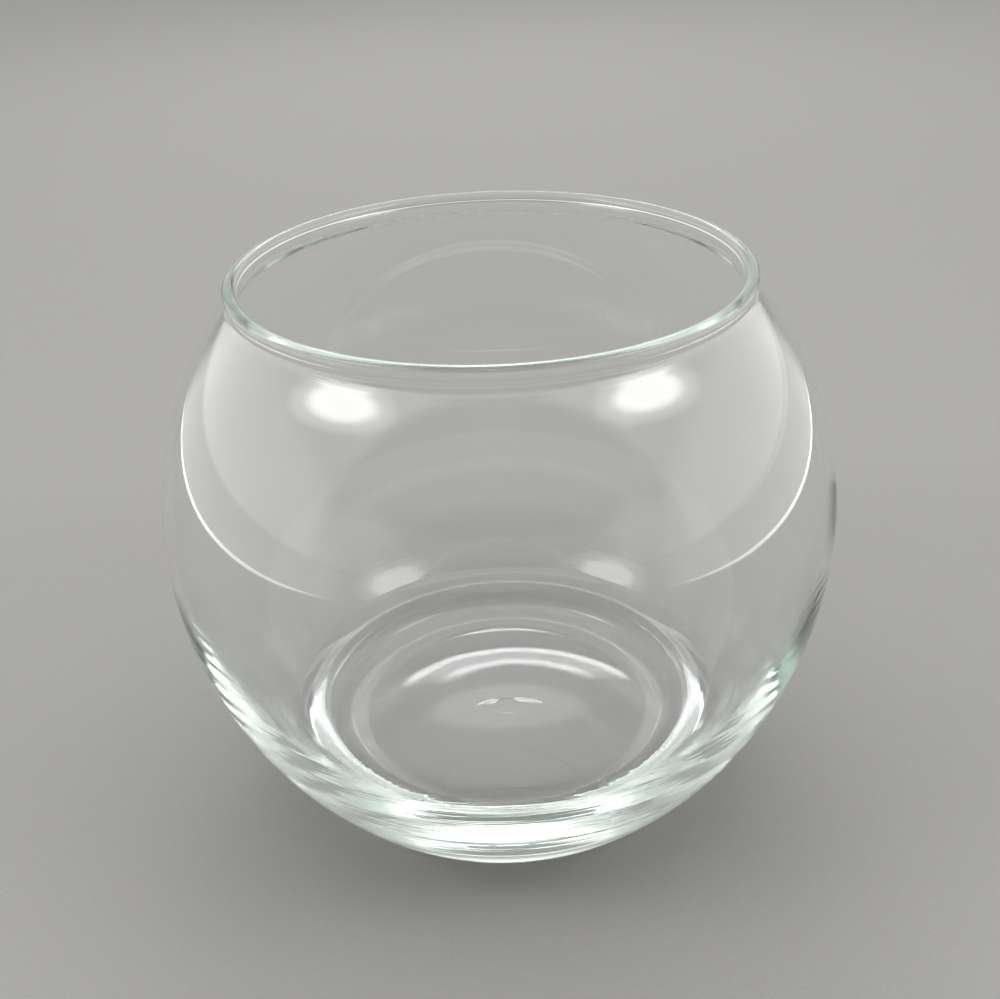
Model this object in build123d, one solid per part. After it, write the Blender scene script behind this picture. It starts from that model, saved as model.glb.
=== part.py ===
from build123d import *
import os
from math import sqrt

os.makedirs("parts", exist_ok=True)

# A rose bowl is one piece of clear glass, pressed and then blown in a mould.
# Its section is drawn as radius and height, then spun round the upright axis.
# Millimetres, +Z up, the origin under the middle of the base at table height.

# Outside shape
body_diameter = 152.0        # across the widest ring
overall_height = 128.0       # table to the top of the rim bead
widest_height = 70.5         # table to the widest ring
foot_diameter = 77.4         # across the outside of the ring that the bowl stands on
heel_radius = 15.0           # large rounding where the wall turns under

# Rim
rim_diameter = 111.5         # across the outside of the bead
bead_thickness = 3.0         # round bead left by the fire polishing
lip_height = 5.0             # top of the bead down to the start of the shoulder
lip_radius = 4.0             # rounding under the bead, inside

# Glass thickness and the inside
wall_thickness = 2.3         # from the widest ring up to the lip
corner_thickness = 5.5       # out through the inside corner, where the wall has thickened
floor_height = 15.0          # table to the inside floor, so the base is thick
inside_corner_radius = 8.0   # floor into wall

# Underside
bearing_ring_width = 3.0     # flat ring that the bowl stands on
push_up = 2.5                # rise of the underside in the middle
mark_diameter = 6.0          # plain round mould mark in the middle
mark_height = 0.4            # it stands this far down from the glass round it


def point_towards(centre, target, distance):
    """The point at this distance from a centre, on the line towards a target."""
    direction = (Vector(*target) - Vector(*centre)).normalized()
    spot = Vector(*centre) + direction * distance
    return (spot.X, spot.Y)


def arc_about(centre, start, end):
    """An arc round a centre from start to end, the short way."""
    radius = (Vector(*start) - Vector(*centre)).length
    chord_middle = (Vector(*start) + Vector(*end)) / 2
    middle = point_towards(centre, (chord_middle.X, chord_middle.Y), radius)
    return ThreePointArc(start, middle, end)


def arc_radius_onto(inset, drop, end_radius):
    """The radius of an arc that starts upright and ends tangent inside a smaller circle.

    The smaller circle's centre lies inset towards the axis and drop along it from the start.
    With an end radius of 0, the arc ends at that centre.
    """
    return (inset ** 2 + drop ** 2 - end_radius ** 2) / (2 * (inset - end_radius))


body_radius = body_diameter / 2
rim_radius = rim_diameter / 2
foot_radius = foot_diameter / 2
bead_radius = bead_thickness / 2
mark_radius = mark_diameter / 2
mouth_radius = rim_radius - bead_thickness

# Underside: the bearing ring, and inside it a shallow dome with the mould mark in its middle
ring_outer = (foot_radius, 0.0)
ring_inner = (foot_radius - bearing_ring_width, 0.0)
dome_radius = (ring_inner[0] ** 2 + push_up ** 2) / (2 * push_up)
dome_centre = (0.0, push_up - dome_radius)
mark_edge = (mark_radius, dome_centre[1] + sqrt(dome_radius ** 2 - mark_radius ** 2))
mark_face = (mark_radius, mark_edge[1] - mark_height)

# Outside wall below the widest ring: one arc, upright at that ring and tangent to the heel
widest = (body_radius, widest_height)
heel_centre = (foot_radius, heel_radius)
lower_radius = arc_radius_onto(body_radius - foot_radius, widest_height - heel_radius, heel_radius)
lower_centre = (body_radius - lower_radius, widest_height)
heel_top = point_towards(lower_centre, heel_centre, lower_radius)

# Shoulder: one arc, upright at the widest ring, that ends straight under the bead's outer edge
shoulder_top = (rim_radius, overall_height - lip_height)
shoulder_radius = arc_radius_onto(body_radius - rim_radius, shoulder_top[1] - widest_height, 0.0)
shoulder_centre = (body_radius - shoulder_radius, widest_height)

# Rim bead, and the groove under it, tangent to the shoulder and to the bead
bead_centre = (rim_radius - bead_radius, overall_height - bead_radius)
bead_top = (bead_centre[0], overall_height)
bead_inner = (mouth_radius, bead_centre[1])
shoulder_normal = (Vector(*shoulder_top) - Vector(*shoulder_centre)).normalized()
bead_to_shoulder = Vector(*shoulder_top) - Vector(*bead_centre)
groove_need = bead_to_shoulder.length ** 2 - bead_radius ** 2
groove_radius = groove_need / (2 * (bead_radius - shoulder_normal.dot(bead_to_shoulder)))
groove_centre = point_towards(shoulder_centre, shoulder_top, shoulder_radius + groove_radius)
bead_outer = point_towards(bead_centre, groove_centre, bead_radius)

# Inside of the lip: tangent to the mouth and to the inside of the shoulder
inside_shoulder_radius = shoulder_radius - wall_thickness
lip_reach = mouth_radius + lip_radius - shoulder_centre[0]
lip_rise = sqrt((inside_shoulder_radius + lip_radius) ** 2 - lip_reach ** 2)
lip_centre = (mouth_radius + lip_radius, widest_height + lip_rise)
lip_top = (mouth_radius, lip_centre[1])
lip_bottom = point_towards(shoulder_centre, lip_centre, inside_shoulder_radius)

# Inside corner: tangent to the floor, with its thickness of glass out to the lower wall
corner_height = floor_height + inside_corner_radius
corner_from_lower = lower_radius - corner_thickness - inside_corner_radius
corner_reach = sqrt(corner_from_lower ** 2 - (widest_height - corner_height) ** 2)
corner_centre = (lower_centre[0] + corner_reach, corner_height)
floor_edge = (corner_centre[0], floor_height)

# Inside wall below the widest ring: one arc, upright at that ring and tangent to the corner
inside_widest = (body_radius - wall_thickness, widest_height)
inside_inset = inside_widest[0] - corner_centre[0]
inside_radius = arc_radius_onto(inside_inset, widest_height - corner_height, inside_corner_radius)
inside_centre = (inside_widest[0] - inside_radius, widest_height)
corner_top = point_towards(inside_centre, corner_centre, inside_radius)

# The whole section, from the middle of the underside up the outside and back down the inside
with BuildPart() as glass_bowl:
    with BuildSketch(Plane.XZ):
        with BuildLine():
            Line((0.0, mark_face[1]), mark_face)
            Line(mark_face, mark_edge)
            arc_about(dome_centre, mark_edge, ring_inner)
            Line(ring_inner, ring_outer)
            arc_about(heel_centre, ring_outer, heel_top)
            arc_about(lower_centre, heel_top, widest)
            arc_about(shoulder_centre, widest, shoulder_top)
            arc_about(groove_centre, shoulder_top, bead_outer)
            arc_about(bead_centre, bead_outer, bead_top)
            arc_about(bead_centre, bead_top, bead_inner)
            Line(bead_inner, lip_top)
            arc_about(lip_centre, lip_top, lip_bottom)
            arc_about(shoulder_centre, lip_bottom, inside_widest)
            arc_about(inside_centre, inside_widest, corner_top)
            arc_about(corner_centre, corner_top, floor_edge)
            Line(floor_edge, (0.0, floor_height))
            Line((0.0, floor_height), (0.0, mark_face[1]))
        make_face()
    revolve(axis=Axis.Z)

print(f"shoulder arc {shoulder_radius:.2f}, lower arc {lower_radius:.2f}, inside arc {inside_radius:.2f}")
print(f"groove {groove_radius:.2f}, floor {2 * floor_edge[0]:.2f} across, mouth {2 * mouth_radius:.2f} across")

glass_bowl.part.label = "glass_bowl"
export_step(glass_bowl.part, "parts/glass_bowl.step")
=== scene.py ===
# %% [markdown]
# # A glass rose bowl on a pale table
#
# A rose bowl is one piece of clear glass: a round belly, a wide mouth with a bead round its edge, and a
# thick base. The solid model is already made and packed, and this script dresses it. Glass shows almost
# nothing of its own, so most of the work is in three things: a very smooth surface, the right thickness
# everywhere, and something light and something dark for it to bend and mirror.

# %% Load the solid model
from math import atan2, cos, hypot, pi, radians, sin, sqrt

import bpy
from mathutils import Matrix, Vector


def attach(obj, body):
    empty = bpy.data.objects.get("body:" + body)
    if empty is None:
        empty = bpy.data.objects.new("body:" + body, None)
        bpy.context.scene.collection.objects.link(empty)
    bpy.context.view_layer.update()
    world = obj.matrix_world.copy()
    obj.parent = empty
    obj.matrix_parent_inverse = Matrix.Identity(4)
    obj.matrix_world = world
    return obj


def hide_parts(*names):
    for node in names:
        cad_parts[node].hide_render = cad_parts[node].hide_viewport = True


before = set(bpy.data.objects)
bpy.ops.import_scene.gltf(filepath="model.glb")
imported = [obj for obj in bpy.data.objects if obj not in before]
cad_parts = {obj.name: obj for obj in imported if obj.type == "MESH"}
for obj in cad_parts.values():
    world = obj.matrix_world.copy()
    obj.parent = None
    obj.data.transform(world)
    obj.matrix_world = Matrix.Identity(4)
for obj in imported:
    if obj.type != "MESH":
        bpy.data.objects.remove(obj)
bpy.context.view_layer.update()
scene = bpy.context.scene

# %% [markdown]
# ## Small tools
#
# Two helpers do most of the typing. The first turns a colour written as a hex code into the linear numbers
# that a renderer adds up. The second adds a shader node, sets its values and plugs in its links in one go.

# %% Small tools
MM = 0.001


def linear(code):
    """A colour such as #C8C8C8, as the linear red, green, blue and alpha that shaders use."""
    parts = [int(code[i:i + 2], 16) / 255 for i in (1, 3, 5)]
    return [p / 12.92 if p <= 0.04045 else ((p + 0.055) / 1.055) ** 2.4 for p in parts] + [1.0]


def add_node(tree, kind, inputs=None, **settings):
    """Adds a shader node. An input is a value, or another node's output to link."""
    made = tree.nodes.new(kind)
    for name, value in settings.items():
        setattr(made, name, value)
    for name, value in (inputs or {}).items():
        if isinstance(value, bpy.types.NodeSocket):
            tree.links.new(value, made.inputs[name])
        else:
            made.inputs[name].default_value = value
    return made


def new_material(name):
    """An empty node material, with its output node."""
    material = bpy.data.materials.new(name)
    material.use_nodes = True
    material.node_tree.nodes.clear()
    return material, material.node_tree, add_node(material.node_tree, "ShaderNodeOutputMaterial")


# %% [markdown]
# ## The camera
#
# The bowl is seen from above its rim, with a normal lens about 32 cm from its foot. From so near, the mouth
# looks much wider open than the base, and that is part of the look. The camera also leans by two degrees,
# as a picture taken by hand does. A camera looks along its own minus Z, so its matrix is made of three
# directions.

# %% Camera
CAMERA_BACK = 243.2 * MM
CAMERA_UP = 209.7 * MM
TILT, PAN, ROLL = radians(29.78), radians(0.06), radians(-2.15)
LENS_PER_WIDTH, SENSOR = 1.2, 36

ahead = Vector((sin(PAN) * cos(TILT), cos(PAN) * cos(TILT), -sin(TILT)))
level = Vector((cos(PAN), -sin(PAN), 0))
upright = level.cross(ahead)
across = cos(ROLL) * level + sin(ROLL) * upright
over = cos(ROLL) * upright - sin(ROLL) * level

camera_data = bpy.data.cameras.new("camera")
camera_data.sensor_width = SENSOR
camera_data.lens = LENS_PER_WIDTH * SENSOR
camera = bpy.data.objects.new("camera", camera_data)
turn = Matrix((across, over, -ahead)).transposed().to_4x4()
camera.matrix_world = Matrix.Translation((0, -CAMERA_BACK, CAMERA_UP)) @ turn
scene.collection.objects.link(camera)
scene.camera = camera
print("camera lens, mm:", round(camera_data.lens, 1))

# %% [markdown]
# ## The section of the bowl
#
# A glassmaker's mould is turned on a lathe, so half a section says everything. The sizes are those of the
# solid model, in millimetres. Each curve of the wall is an arc that runs into the next without a corner, and
# that is what makes highlights flow over the glass in one line.

# %% Sizes of the section
BODY_RADIUS, WIDEST, HEIGHT = 76.0, 70.5, 128.0
FOOT_RADIUS, HEEL, RING_WIDTH, PUSH_UP = 38.7, 15.0, 3.0, 2.5
RIM_RADIUS, BEAD, LIP_HEIGHT, LIP_ROUND = 55.75, 1.5, 5.0, 4.0
WALL, CORNER_GLASS, FLOOR, CORNER = 2.3, 5.5, 15.0, 8.0
MARK_RADIUS, MARK_HEIGHT = 3.0, 0.4
MOUTH = RIM_RADIUS - 2 * BEAD
print("section, mm: radius", BODY_RADIUS, "height", HEIGHT, "mouth radius", MOUTH)


def reach(centre, target, distance):
    """The point at a distance from a centre, towards a target."""
    away = hypot(target[0] - centre[0], target[1] - centre[1])
    return tuple(c + (t - c) * distance / away for c, t in zip(centre, target))


def arc_radius(inset, drop, end):
    """The radius of an arc that starts upright and ends tangent inside a circle of radius end."""
    return (inset ** 2 + drop ** 2 - end ** 2) / (2 * (inset - end))


# %% Centres of the arcs
lower_r = arc_radius(BODY_RADIUS - FOOT_RADIUS, WIDEST - HEEL, HEEL)
lower_c = (BODY_RADIUS - lower_r, WIDEST)
heel_c = (FOOT_RADIUS, HEEL)
heel_top = reach(lower_c, heel_c, lower_r)

neck = (RIM_RADIUS, HEIGHT - LIP_HEIGHT)
shoulder_r = arc_radius(BODY_RADIUS - RIM_RADIUS, neck[1] - WIDEST, 0)
shoulder_c = (BODY_RADIUS - shoulder_r, WIDEST)

bead_c = (RIM_RADIUS - BEAD, HEIGHT - BEAD)
normal = reach((0, 0), (neck[0] - shoulder_c[0], neck[1] - shoulder_c[1]), 1)
from_bead = (neck[0] - bead_c[0], neck[1] - bead_c[1])
slope = normal[0] * from_bead[0] + normal[1] * from_bead[1]
groove_r = (hypot(*from_bead) ** 2 - BEAD ** 2) / (2 * (BEAD - slope))
groove_c = reach(shoulder_c, neck, shoulder_r + groove_r)
bead_out = reach(bead_c, groove_c, BEAD)

inner_shoulder_r = shoulder_r - WALL
lip_x = MOUTH + LIP_ROUND
lip_c = (lip_x, WIDEST + sqrt((inner_shoulder_r + LIP_ROUND) ** 2 - (lip_x - shoulder_c[0]) ** 2))
lip_low = reach(shoulder_c, lip_c, inner_shoulder_r)

corner_z = FLOOR + CORNER
corner_x = lower_c[0] + sqrt((lower_r - CORNER_GLASS - CORNER) ** 2 - (WIDEST - corner_z) ** 2)
corner_c = (corner_x, corner_z)
inner_r = arc_radius(BODY_RADIUS - WALL - corner_x, WIDEST - corner_z, CORNER)
inner_c = (BODY_RADIUS - WALL - inner_r, WIDEST)
corner_top = reach(inner_c, corner_c, inner_r)

ring_in = FOOT_RADIUS - RING_WIDTH
dome_r = (ring_in ** 2 + PUSH_UP ** 2) / (2 * PUSH_UP)
dome_c = (0.0, PUSH_UP - dome_r)
mark_z = dome_c[1] + sqrt(dome_r ** 2 - MARK_RADIUS ** 2)
print("arcs, mm:", round(shoulder_r, 2), round(lower_r, 2), round(inner_r, 2), round(groove_r, 2))

# %% [markdown]
# ## Points along the section
#
# Short steps go where the curve is tight, as on the bead, and long ones where it is nearly straight. Glass
# bends light by its slope, so a wall with too few points shows as a fan of flat bands, and the steps stay
# small even on the long arcs.

# %% Points on an arc and on a line
LEAST_POINTS = 3


def arc(centre, start, end, step, way=0):
    """Points from start towards end round a centre, with the start but not the end."""
    radius = hypot(start[0] - centre[0], start[1] - centre[1])
    first = atan2(start[1] - centre[1], start[0] - centre[0])
    swing = atan2(end[1] - centre[1], end[0] - centre[0]) - first
    swing = (swing + pi) % (2 * pi) - pi
    if way and swing * way < 0:
        swing += way * 2 * pi
    count = max(LEAST_POINTS, round(abs(swing) * radius / step))
    angles = [first + swing * i / count for i in range(count)]
    return [(centre[0] + radius * cos(a), centre[1] + radius * sin(a)) for a in angles]


def straight(start, end, step):
    """Points from start towards end on a line, with the start but not the end."""
    count = max(1, round(hypot(end[0] - start[0], end[1] - start[1]) / step))
    return [tuple(s + (e - s) * i / count for s, e in zip(start, end)) for i in range(count)]


# %% Points along the section
WALL_STEP, HEEL_STEP, BEAD_STEP, FLAT_STEP, MARK_STEP = 1.3, 0.4, 0.2, 1.5, 0.2
mark_face = mark_z - MARK_HEIGHT
inner_widest = (BODY_RADIUS - WALL, WIDEST)

under = straight((0, mark_face), (MARK_RADIUS, mark_face), FLAT_STEP)
under += straight((MARK_RADIUS, mark_face), (MARK_RADIUS, mark_z), MARK_STEP)
under += arc(dome_c, (MARK_RADIUS, mark_z), (ring_in, 0), FLAT_STEP)
under += straight((ring_in, 0), (FOOT_RADIUS, 0), FLAT_STEP)
outside = arc(heel_c, (FOOT_RADIUS, 0), heel_top, HEEL_STEP)
outside += arc(lower_c, heel_top, (BODY_RADIUS, WIDEST), WALL_STEP)
outside += arc(shoulder_c, (BODY_RADIUS, WIDEST), neck, WALL_STEP)
rim = arc(groove_c, neck, bead_out, BEAD_STEP)
rim += arc(bead_c, bead_out, (MOUTH, bead_c[1]), BEAD_STEP, way=1)
rim += straight((MOUTH, bead_c[1]), (MOUTH, lip_c[1]), HEEL_STEP)
rim += arc(lip_c, (MOUTH, lip_c[1]), lip_low, HEEL_STEP)
inside = arc(shoulder_c, lip_low, inner_widest, WALL_STEP)
inside += arc(inner_c, inner_widest, corner_top, WALL_STEP)
inside += arc(corner_c, corner_top, (corner_x, FLOOR), BEAD_STEP)
inside += straight((corner_x, FLOOR), (0, FLOOR), FLAT_STEP) + [(0, FLOOR)]

half = len(rim) // 2
section = [(r, z, "outside") for r, z in under + outside + rim[:half]]
section += [(r, z, "inside") for r, z in rim[half:] + inside]
print("points in the section:", len(section))

# %% [markdown]
# ## What hot glass does
#
# Blown glass is never quite even. The wall is a little thicker on one side, and its surface sways by a few
# hundredths of a millimetre. None of it shows as shape, but it bends the lines that are seen through the
# wall, which is how the eye tells glass from plastic. The sway dies out towards the thick base, where the
# glass lay still against the mould, and is small at the rim. Sines with fixed phases make it, so that every
# run gives the same bowl.

# %% Unevenness of the glass
# Each wave is its height in millimetres, its count round the bowl, its phase, and its lean for each
# millimetre up.
OUTSIDE_WAVES = [(0.035, 2, 0.6, 0.021), (0.022, 3, -1.9, -0.034), (0.008, 7, 0.8, 0.09)]
INSIDE_WAVES = [(0.16, 1, pi / 2 - 2.2, 0.0), (0.05, 3, 0.4, -0.03), (0.03, 5, 2.0, 0.05)]
STILL_BELOW, BASE_FADE = FLOOR, 40.0
RIM_FADE, RIM_LEAST = 30.0, 0.15
AXIS_FADE = 50.0


def sway(turn_angle, r, z, side):
    """How far the surface stands off the true section, outwards, in millimetres."""
    calm = min(1.0, max(0.0, z - STILL_BELOW) / BASE_FADE)
    calm *= min(1.0, max(RIM_LEAST, (HEIGHT - z) / RIM_FADE)) * min(1.0, r / AXIS_FADE)
    waves = OUTSIDE_WAVES if side == "outside" else INSIDE_WAVES
    return calm * sum(size * sin(count * turn_angle + phase + lean * z) for size, count, phase, lean in waves)


largest = [round(sum(wave[0] for wave in waves), 3) for waves in (OUTSIDE_WAVES, INSIDE_WAVES)]
print("largest sway outside and inside, mm:", largest)

# %% [markdown]
# ## Spinning the section
#
# Each point of the section becomes a ring of points, and neighbouring rings are joined by four-sided faces.
# The two ends lie on the axis, so they close in a fan. The faces are then shaded smooth, and only the edges
# of the mould mark stay sharp.

# %% Spin the points
TURNS = 270
ON_AXIS = 1e-6
points, rings = [], []
for r, z, side in section:
    if r < ON_AXIS:
        rings.append([len(points)])
        points.append((0, 0, z * MM))
        continue
    rings.append(range(len(points), len(points) + TURNS))
    for i in range(TURNS):
        t = 2 * pi * i / TURNS
        off = r + sway(t, r, z, side)
        points.append((off * cos(t) * MM, off * sin(t) * MM, z * MM))
print("rings:", len(rings))

# %% Join the rings
faces = []
for low_ring, high_ring in zip(rings, rings[1:]):
    for i in range(TURNS):
        j = (i + 1) % TURNS
        if len(low_ring) == 1:
            faces.append((low_ring[0], high_ring[j], high_ring[i]))
        elif len(high_ring) == 1:
            faces.append((low_ring[i], low_ring[j], high_ring[0]))
        else:
            faces.append((low_ring[i], low_ring[j], high_ring[j], high_ring[i]))
print("bowl:", len(points), "points,", len(faces), "faces")

# %% The bowl
SHARP_EDGE = radians(50)
bowl_mesh = bpy.data.meshes.new("bowl_glass")
bowl_mesh.from_pydata(points, [], faces)
bowl_mesh.update()
bowl_mesh.shade_smooth()
bowl_mesh.set_sharp_from_angle(angle=SHARP_EDGE)
bowl = bpy.data.objects.new("bowl_glass", bowl_mesh)
scene.collection.objects.link(bowl)
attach(bowl, "root")
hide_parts("glass_bowl")
print("made:", bowl.name)

# %% [markdown]
# ## Glass
#
# Soda-lime glass has an index of refraction of 1.52 and a fire-polished skin with no roughness at all. A
# trace of iron makes it green, but only where light crosses a lot of it, as along the heel and round the
# rim. So the tint is a volume that takes a little red and blue from each millimetre, and the surface itself
# stays colourless.
#
# Two kinds of unevenness are too small to model. Low on the bowl the hot glass chilled against the mould in
# level rings, which draws the light in the heel out into fine streaks. Everywhere else there is only a slow
# swell, a finger's width from crest to crest. Both are bumps, and both are so slight that neither shows as
# a shape by itself.

# %% Glass: streaks and swell
STREAK_LENGTH, STREAK_SPACING = 100 / 3 * MM, 5 / 8 * MM
STREAK_STRENGTH, STREAK_HEIGHT = 0.012, 1 * MM
STREAKS_FADE_FROM, STREAKS_GONE_AT = 30 * MM, 60 * MM
SWELL_WIDTH, SWELL_STRENGTH, SWELL_HEIGHT = 50 / 3 * MM, 0.004, 4 * MM

glass, tree, output = new_material("soda_lime_glass")
place = add_node(tree, "ShaderNodeTexCoord").outputs["Object"]
stretch = (1 / STREAK_LENGTH, 1 / STREAK_LENGTH, 1 / STREAK_SPACING)
drawn = add_node(tree, "ShaderNodeVectorMath", {0: place, 1: stretch}, operation="MULTIPLY")
streak = add_node(tree, "ShaderNodeTexNoise", {"Vector": drawn.outputs["Vector"], "Scale": 1.0, "Detail": 0.0})
rise = add_node(tree, "ShaderNodeSeparateXYZ", {"Vector": place}).outputs["Z"]
fade = {"Value": rise, "From Min": STREAKS_FADE_FROM, "From Max": STREAKS_GONE_AT, "To Min": 1.0, "To Max": 0.0}
low = add_node(tree, "ShaderNodeMapRange", fade, interpolation_type="SMOOTHSTEP")
chill = add_node(tree, "ShaderNodeMath", {0: streak.outputs["Fac"], 1: low.outputs["Result"]},
                 operation="MULTIPLY")
swell = add_node(tree, "ShaderNodeTexNoise", {"Vector": place, "Scale": 1 / SWELL_WIDTH, "Detail": 1.0,
                                              "Roughness": 0.4})
fine = add_node(tree, "ShaderNodeBump", {"Height": chill.outputs["Value"], "Strength": STREAK_STRENGTH,
                                         "Distance": STREAK_HEIGHT})
both = add_node(tree, "ShaderNodeBump", {"Height": swell.outputs["Fac"], "Strength": SWELL_STRENGTH,
                                         "Distance": SWELL_HEIGHT, "Normal": fine.outputs["Normal"]})
print("streaks, mm apart:", round(STREAK_SPACING / MM, 2), "swell, mm:", round(SWELL_WIDTH / MM, 1))

# %% Glass: surface and body
INDEX = 1.52
IRON_TINT, IRON_DENSITY = "#DBFBE8", 2.2

# The surface: a clear, sharp mirror that lets through nearly all of what it doesn't reflect.
clear = add_node(tree, "ShaderNodeBsdfPrincipled", {"Base Color": linear("#FFFFFF"), "Roughness": 0.0,
                                                    "IOR": INDEX, "Transmission Weight": 1.0,
                                                    "Normal": both.outputs["Normal"]})
# The body: clear across the wall, and a cool green along the heel, where the eye looks through
# centimetres of it.
iron = add_node(tree, "ShaderNodeVolumeAbsorption", {"Color": linear(IRON_TINT), "Density": IRON_DENSITY})
tree.links.new(clear.outputs["BSDF"], output.inputs["Surface"])
tree.links.new(iron.outputs["Volume"], output.inputs["Volume"])
bowl_mesh.materials.append(glass)
print("glass: index", INDEX, "tint", IRON_TINT)

# %% [markdown]
# ## The table
#
# A plain pale sheet of matt paper, wide enough to reach the horizon from any side. It lies a hair's breadth
# under the bowl, since two surfaces in exactly the same place would flicker. Its grain hardly shows, but it
# keeps the grey from looking like plastic. The grain of real paper is finer than a render can hold, so it is
# drawn coarser, at two thirds of a millimetre. Pale paper is a hard ground for clear glass: there is little
# contrast between the two, so the lights have to draw the edges.

# %% Table sheet
FLOOR_HALF = 15.0
FLOOR_GAP = 0.15 * MM
floor_mesh = bpy.data.meshes.new("table_sheet")
corners = [(x * FLOOR_HALF, y * FLOOR_HALF, -FLOOR_GAP) for x, y in ((-1, -1), (1, -1), (1, 1), (-1, 1))]
floor_mesh.from_pydata(corners, [], [(0, 1, 2, 3)])
sheet = bpy.data.objects.new("table_sheet", floor_mesh)
scene.collection.objects.link(sheet)
print("table sheet, metres across:", 2 * FLOOR_HALF)

# %% Table paper
GRAIN_WIDTH, GRAIN_STRENGTH, GRAIN_HEIGHT = 2 / 3 * MM, 0.15, 0.5 * MM
PAPER_DARK, PAPER_LIGHT = "#A4A3A0", "#AEADAA"

# Matt paper: an even warm grey, with no shine that could compete with the glass.
paper, tree, output = new_material("matt_paper")
place = add_node(tree, "ShaderNodeTexCoord").outputs["Object"]
grain = add_node(tree, "ShaderNodeTexNoise", {"Vector": place, "Scale": 1 / GRAIN_WIDTH, "Detail": 3.0})
tone = add_node(tree, "ShaderNodeValToRGB", {"Fac": grain.outputs["Fac"]})
tone.color_ramp.elements[0].color = linear(PAPER_DARK)
tone.color_ramp.elements[1].color = linear(PAPER_LIGHT)
relief = add_node(tree, "ShaderNodeBump", {"Height": grain.outputs["Fac"], "Strength": GRAIN_STRENGTH,
                                           "Distance": GRAIN_HEIGHT})
matt = add_node(tree, "ShaderNodeBsdfPrincipled", {"Base Color": tone.outputs["Color"], "Roughness": 0.9,
                                                   "Specular IOR Level": 0.0,
                                                   "Normal": relief.outputs["Normal"]})
tree.links.new(matt.outputs["BSDF"], output.inputs["Surface"])
floor_mesh.materials.append(paper)
print("paper:", PAPER_DARK, "to", PAPER_LIGHT)

# %% [markdown]
# ## The room
#
# Clear glass has hardly any colour to light. What the eye reads is what it mirrors and bends, so the lights
# are there as shapes, as much as for their brightness. The room is a soft white box: pale sides, a brighter
# roof, and a dark doorway behind the camera. The doorway is mirrored in the front of the bowl and keeps it
# dark enough to look through. The camera itself never looks at the doorway: where it sees past the table, a
# plain pale backdrop stands in for the whole room. A pale screen stands in the doorway too, but only for
# light that comes through the glass, so that the bowl looks clear from behind.
#
# A world shader is asked for its brightness in a direction, so height and turn are read off that direction:
# Z is the sine of the angle above the horizon, and Y is forwards.

# %% Room: its parts
HORIZON, SIDES, ROOF = 0.9, 0.7, 1.3
DOOR, BACKDROP = 0.08, 0.85
SIDE_BAND, ROOF_BAND, DOOR_EDGE, SCREEN_TOP = (-0.05, 0.45), (0.55, 0.90), (-0.55, -0.45), (0.20, 0.32)

room = bpy.data.worlds.new("room")
room.use_nodes = True
room_tree = room.node_tree
room_tree.nodes.clear()
direction = add_node(room_tree, "ShaderNodeTexCoord").outputs["Generated"]
way = add_node(room_tree, "ShaderNodeSeparateXYZ", {"Vector": direction}).outputs
paths = add_node(room_tree, "ShaderNodeLightPath").outputs


def change(value, band, start, end):
    """A brightness that goes smoothly from start to end across a band of directions."""
    ends = {"From Min": band[0], "From Max": band[1], "To Min": start, "To Max": end}
    made = add_node(room_tree, "ShaderNodeMapRange", {"Value": value, **ends}, interpolation_type="SMOOTHSTEP")
    return made.outputs["Result"]


def together(operation, first, second):
    """Two brightnesses put together."""
    return add_node(room_tree, "ShaderNodeMath", {0: first, 1: second}, operation=operation).outputs["Value"]


# %% Room: put together
sides = change(way["Z"], SIDE_BAND, HORIZON, SIDES)
roof = change(way["Z"], ROOF_BAND, 0.0, ROOF - SIDES)
door = change(way["Y"], DOOR_EDGE, DOOR, 1.0)
screen = change(way["Z"], SCREEN_TOP, paths["Is Transmission Ray"], 0.0)
glow = together("MULTIPLY", together("ADD", sides, roof), together("MAXIMUM", door, screen))
shown = add_node(room_tree, "ShaderNodeMapRange", {"Value": paths["Is Camera Ray"], "To Min": glow,
                                                   "To Max": BACKDROP})
sky = add_node(room_tree, "ShaderNodeBackground", {"Color": linear("#FFFFFF"),
                                                   "Strength": shown.outputs["Result"]})
add_node(room_tree, "ShaderNodeOutputWorld", {"Surface": sky.outputs["Background"]})
scene.world = room
print("room: sides", SIDES, "roof", ROOF, "doorway", DOOR)

# %% [markdown]
# ## A soft lamp
#
# A bare area lamp mirrors as a hard white rectangle. A real soft box is brightest in its middle, so this one
# has a colour ramp that dims it from the middle to the edge. The ramp is read by the distance from the
# middle, counted in lamp widths. An energy of pi times the area makes the glow the brightness that the glass
# mirrors: at 1, a white sheet looks just white.

# %% A soft lamp
MIDDLE, FLAT = (0.5, 0.5, 0.0), (1.0, 1.0, 0.0)
CUT_EDGE = 0.1


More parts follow.
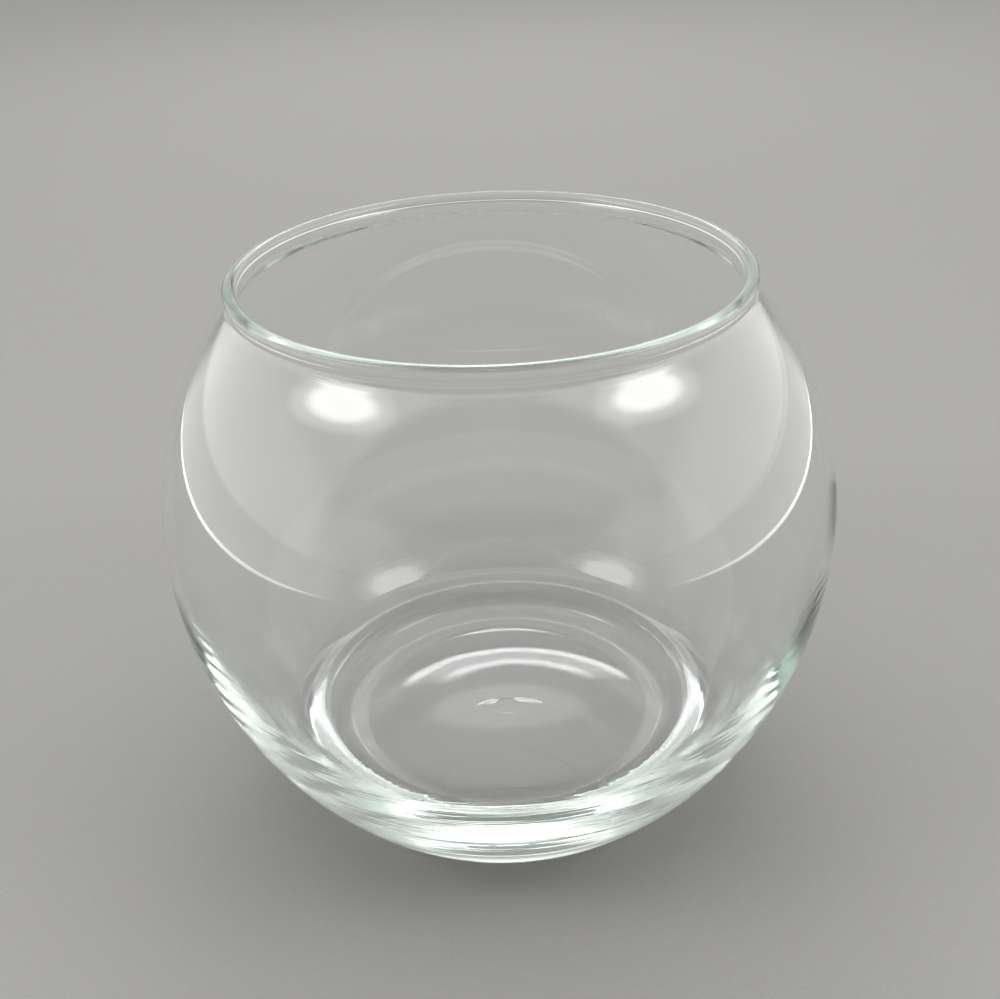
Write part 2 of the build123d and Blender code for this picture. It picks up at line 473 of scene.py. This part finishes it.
def dimmer(tree, fade, cut):
    """The share of its brightness that a lamp has at each spot, by distance from its middle.

    With a cut, the lamp is dark on the near side of that share of its depth.
    """
    # The spot on the lamp runs from 0 to 1 each way, and its third number isn't wanted.
    spot = add_node(tree, "ShaderNodeNewGeometry").outputs["Parametric"]
    flat = add_node(tree, "ShaderNodeVectorMath", {0: spot, 1: FLAT}, operation="MULTIPLY")
    away = add_node(tree, "ShaderNodeVectorMath", {0: flat.outputs["Vector"], 1: MIDDLE}, operation="DISTANCE")
    ramp = add_node(tree, "ShaderNodeValToRGB", {"Fac": away.outputs["Value"]})
    ramp.color_ramp.interpolation = "EASE"
    stops = ramp.color_ramp.elements
    while len(stops) < len(fade):
        stops.new(1.0)
    for stop, (position, bright) in zip(stops, fade):
        stop.position = position
        stop.color = (bright, bright, bright, 1.0)
    if cut is None:
        return ramp.outputs["Color"]
    depth = add_node(tree, "ShaderNodeSeparateXYZ", {"Vector": spot}).outputs["Y"]
    lit = add_node(tree, "ShaderNodeMapRange", {"Value": depth, "From Min": cut, "From Max": cut + CUT_EDGE})
    share = {0: ramp.outputs["Color"], 1: lit.outputs["Result"]}
    return add_node(tree, "ShaderNodeMath", share, operation="MULTIPLY").outputs["Value"]


def soft_box(name, place, aim, size, glow, fade, cut=None):
    """A lamp at a place, pointing at aim. The camera doesn't see it, but the glass does."""
    lamp = bpy.data.lights.new(name, "AREA")
    lamp.shape = "RECTANGLE"
    lamp.size, lamp.size_y = size
    lamp.energy = pi * size[0] * size[1]
    lamp.use_nodes = True
    tree = lamp.node_tree
    power = add_node(tree, "ShaderNodeMath", {0: dimmer(tree, fade, cut), 1: glow}, operation="MULTIPLY")
    tree.links.new(power.outputs["Value"], tree.nodes["Emission"].inputs["Strength"])
    holder = bpy.data.objects.new(name, lamp)
    holder.location = place
    holder.rotation_euler = (Vector(aim) - Vector(place)).to_track_quat("-Z", "Y").to_euler()
    holder.visible_camera = False
    scene.collection.objects.link(holder)
    return holder


# %% [markdown]
# ## Where the lamps stand
#
# Two soft boxes high on the left and right make the two soft patches on the shoulders of the bowl, and each
# patch comes back smaller from the inside of the far wall. They lean, so that the patches lie along the
# shoulder. A large box high behind is mirrored in the flat inside floor and lays a veil of light over the
# thick base. In front of it hangs an arc, the bright double bow that lies across the base.
#
# The side walls and the low strips do no lighting. They are there for the glass to mirror: a bright line
# sweeps down each side of the belly, with a pale field above it, and that line is what shows how round the
# bowl is. They are kept out of what is seen through the glass, so that the bowl stays clear from every side.

# %% Lamps at the sides
SOFT_EDGE = [(0.20, 1.0), (0.34, 0.25), (0.50, 0.0)]
SOFT_ENDS = [(0.30, 1.0), (0.50, 0.0)]
BOX_PLACE, BOX_AIM, BOX_SIZE = (0.545, -0.21, 0.575), (0, 0, 0.08), (0.60, 0.24)
BOX_LEAN = radians(24)
WALL_PLACE, WALL_SIZE = (0.445, 0.02, 0.06), (1.0, 0.75)
STRIP_PLACE, STRIP_SIZE = (0.44, 0.04, 0.007), (0.90, 0.010)
BOX_GLOW, WALL_GLOW, STRIP_GLOW = 6.0, 1.2, 4.5


def beside(place, side):
    """A place on the right moved to a side: 1 is right, -1 is left and 0 is the middle."""
    return (side * place[0], place[1], place[2])


for name, side in (("left", -1), ("right", 1)):
    box = soft_box("soft_box_" + name, beside(BOX_PLACE, side), BOX_AIM, BOX_SIZE, BOX_GLOW, SOFT_EDGE)
    box.rotation_euler.rotate_axis("Z", -side * BOX_LEAN)
    panel = soft_box("side_wall_" + name, beside(WALL_PLACE, side), beside(WALL_PLACE, 0),
                     WALL_SIZE, WALL_GLOW, SOFT_ENDS)
    strip = soft_box("low_strip_" + name, beside(STRIP_PLACE, side), beside(STRIP_PLACE, 0),
                     STRIP_SIZE, STRIP_GLOW, SOFT_ENDS)
    for mirrored in (panel, strip):
        mirrored.visible_diffuse = mirrored.visible_transmission = False

# %% Lamps behind
DOUBLE_ARC = [(0.25, 0.0), (0.31, 0.8), (0.34, 0.3), (0.39, 0.3), (0.43, 1.0), (0.47, 0.0)]
BACK_PLACE, BACK_AIM, BACK_SIZE, BACK_GLOW = (0, 1.02, 0.82), (0, 0, 0.02), (1.0, 0.65), 2.0
ARC_PLACE, ARC_AIM, ARC_SIZE, ARC_GLOW = (0.017, 0.940, 0.794), (0.017, 0.940, 0), (0.40, 0.40), 12.0
ARC_CUT = 0.62

soft_box("soft_box_back", BACK_PLACE, BACK_AIM, BACK_SIZE, BACK_GLOW, SOFT_ENDS)
soft_box("arc_over", ARC_PLACE, ARC_AIM, ARC_SIZE, ARC_GLOW, DOUBLE_ARC, cut=ARC_CUT)

# %% [markdown]
# ## How far light is followed
#
# Light that enters the thick heel is thrown from side to side inside it many times before it finds a way
# out, and each turn counts as a bounce. With too few bounces the heel and the rim come out black, so the
# limits are high.

# %% Light paths
scene.view_settings.view_transform = "Standard"
scene.cycles.max_bounces = 96
scene.cycles.transmission_bounces = 64
scene.cycles.glossy_bounces = 64
print("bounces:", scene.cycles.max_bounces)
